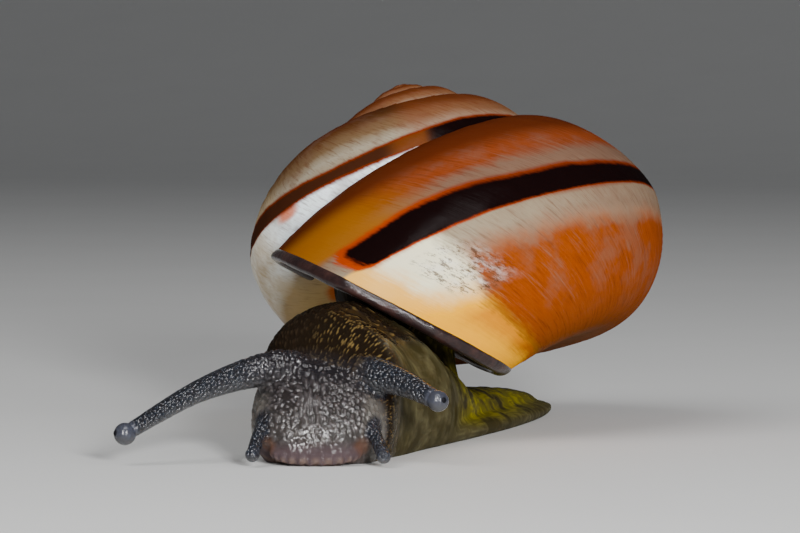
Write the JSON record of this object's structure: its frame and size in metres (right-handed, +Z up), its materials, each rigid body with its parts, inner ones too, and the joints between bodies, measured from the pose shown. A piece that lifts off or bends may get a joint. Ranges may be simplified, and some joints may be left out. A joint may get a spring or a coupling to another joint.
{
  "type": "banded grove snail",
  "caption": "Life-size still model of a banded land snail, crawling on a flat sole with its tentacles out and its right-coiled shell leaning over the foot.",
  "frame": {"origin": "on the flat sole at floor level, under the middle of the foot", "axes": "+Z up, -Y towards the head, +Y towards the tail, +X the animal's left side, -X its right side, where the spire leans"},
  "size_m": [0.0187, 0.0345, 0.0151],
  "materials": {
    "shell": "glossy shell, rusty brown and cream with one near-black spiral band and fine growth lines",
    "shell_lip": "glossy dark brown, slightly violet",
    "mantle": "wet, smooth skin",
    "skin": "wet dark grey skin with rows of small bright tubercles",
    "foot_skin": "wet olive-yellow skin with fine wrinkles",
    "tentacle_skin": "wet, translucent blue-grey skin with a darker core",
    "lips": "wet pinkish grey skin",
    "eye": "glossy black"
  },
  "bodies": {
    "root": {"shell": "shell", "shell_lip": "shell_lip", "mantle_collar": "mantle", "head": "skin", "mouth_lips": "lips", "neck": "skin", "torso": "skin", "foot": "foot_skin", "tail": "foot_skin", "tentacle_upper_right": "tentacle_skin", "tentacle_upper_left": "tentacle_skin", "tentacle_lower_right": "tentacle_skin", "tentacle_lower_left": "tentacle_skin", "eye_right": "eye", "eye_left": "eye"}
  },
  "joints": []
}
